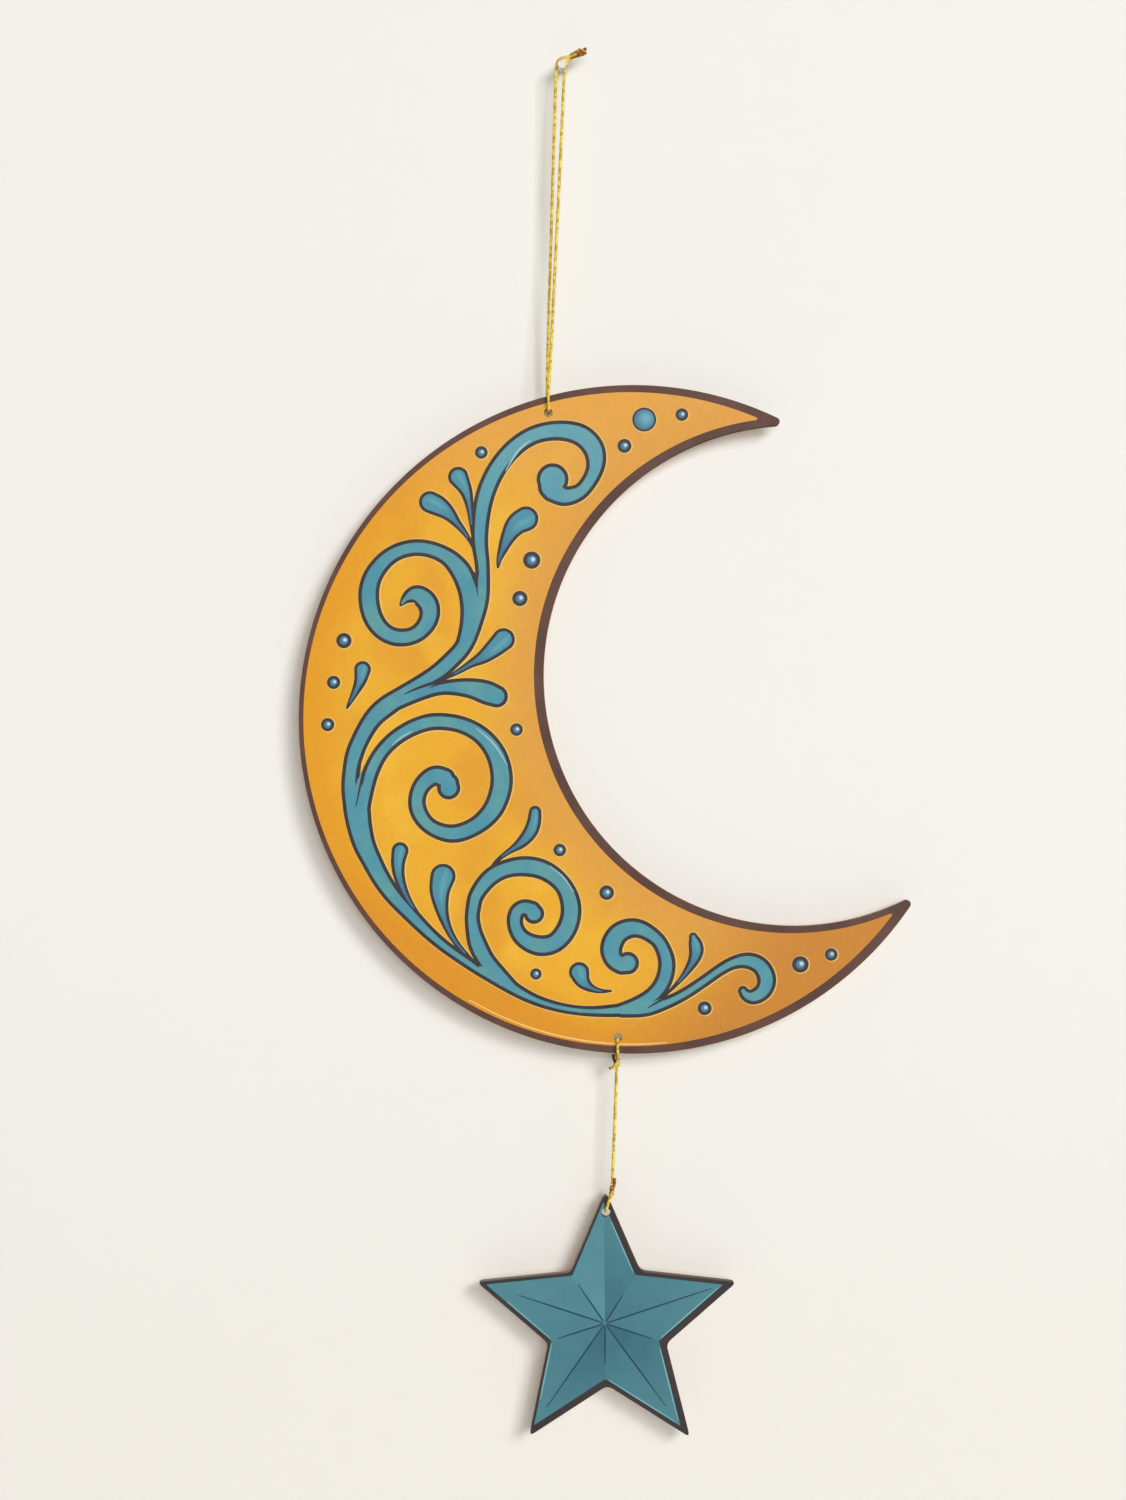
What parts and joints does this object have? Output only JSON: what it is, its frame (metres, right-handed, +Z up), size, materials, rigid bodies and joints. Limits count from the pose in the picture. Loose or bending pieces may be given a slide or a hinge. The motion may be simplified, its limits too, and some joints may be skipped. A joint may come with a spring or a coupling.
{
  "type": "crescent moon ornament",
  "caption": "Flat crescent moon with printed scrollwork, hung on a cord loop through its top hole, with a small flat star hanging below it on a knotted cord.",
  "frame": {"origin": "top of the hanging cord loop, where the nail that it hangs on bears, in the middle of the boards' thickness", "axes": "+X to the right and +Z up as it hangs, with the printed faces towards -Y and the wall behind at +Y"},
  "size_m": [0.1852, 0.0064, 0.4151],
  "materials": {
    "hardboard": "bare brown cut board",
    "border_print": "satin brown print",
    "ground_print": "satin mottled amber print",
    "line_print": "satin dark ink",
    "teal_print": "satin teal ink",
    "star_border_print": "satin dark print",
    "star_face_print": "satin teal print",
    "cord": "metallic gold twisted cord"
  },
  "bodies": {
    "hanger": {"hanger_cord": "cord", "hanger_knot": "cord"},
    "moon": {"moon_board": "hardboard", "moon_border_print": "border_print", "moon_ground_print": "ground_print", "scroll_line_print": "line_print", "scroll_teal_print": "teal_print", "bud_crown_upper": "teal_print", "bud_crown_lower": "teal_print", "bud_waist": "teal_print", "bud_left_small": "teal_print", "bud_left_large": "teal_print", "bud_ring": "teal_print", "bud_foot": "teal_print", "drop_upper": "teal_print", "drop_left": "teal_print", "drop_lower": "teal_print", "dot_01": "teal_print", "dot_02": "teal_print", "dot_03": "teal_print", "dot_04": "teal_print", "dot_05": "teal_print", "dot_06": "teal_print", "dot_07": "teal_print", "dot_08": "teal_print", "dot_09": "teal_print", "dot_10": "teal_print", "dot_11": "teal_print", "dot_12": "teal_print", "dot_13": "teal_print", "dot_14": "teal_print", "dot_15": "teal_print", "dot_16": "teal_print"},
    "link": {"link_loop": "cord", "link_knot": "cord"},
    "strand": {"link_strand": "cord"},
    "swivel": {"star_knot": "cord"},
    "star": {"star_loop": "cord", "star_board": "hardboard", "star_border_print": "star_border_print", "star_face_print": "star_face_print"}
  },
  "joints": [
    {"name": "moon_rock", "type": "hinge", "parent": "hanger", "child": "moon", "pos_m": [0, 0, -0.1058], "axis": [0, 1, 0], "range_deg": [-45, 45]},
    {"name": "link_swing", "type": "hinge", "parent": "moon", "child": "link", "pos_m": [0.02801, 0, -0.29152], "axis": [0, 1, 0], "range_deg": [-25, 25]},
    {"name": "strand_sway", "type": "hinge", "parent": "link", "child": "strand", "pos_m": [0.02791, 0, -0.29942], "axis": [1, 0, 0], "range_deg": [-45, 45]},
    {"name": "star_turn", "type": "hinge", "parent": "strand", "child": "swivel", "pos_m": [0.02801, 0, -0.33712], "axis": [0, 0, 1], "range_deg": [-180, 180]},
    {"name": "star_rock", "type": "hinge", "parent": "swivel", "child": "star", "pos_m": [0.02801, 0, -0.33712], "axis": [0, 1, 0], "range_deg": [-40, 40]}
  ]
}
